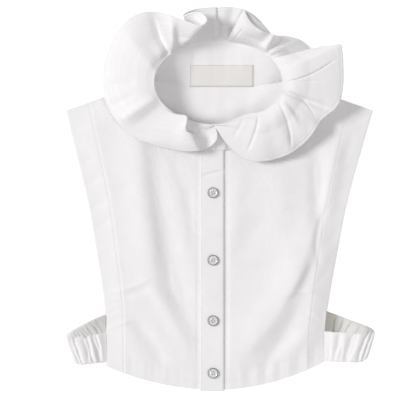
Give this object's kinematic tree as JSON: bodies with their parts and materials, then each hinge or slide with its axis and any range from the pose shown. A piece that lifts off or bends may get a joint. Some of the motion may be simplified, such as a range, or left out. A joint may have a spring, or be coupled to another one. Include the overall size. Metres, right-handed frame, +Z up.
{
  "type": "dickey laid flat",
  "caption": "Sleeveless false shirt front and back with a ruffled stand collar, a buttoned placket and gathered elastic side straps, laid flat on its back.",
  "frame": {"origin": "on the surface it lies on, under the middle of its bounding box", "axes": "+Y from hem to collar, +X to the right of someone looking down at the front, +Z up from the surface"},
  "size_m": [0.3388, 0.421, 0.0589],
  "materials": {
    "cotton": "white plain-weave cotton, softly creased",
    "woven_label": "pale woven satin, left blank",
    "shell_button": "pearly grey, polished"
  },
  "bodies": {
    "root": {"back_panel": "cotton", "front_left": "cotton", "front_right": "cotton", "placket": "cotton", "armhole_band_left": "cotton", "armhole_band_right": "cotton", "stand": "cotton", "ruffle": "cotton", "label": "woven_label", "strap_left": "cotton", "strap_right": "cotton", "button_1": "shell_button", "button_2": "shell_button", "button_3": "shell_button", "button_4": "shell_button"}
  },
  "joints": []
}
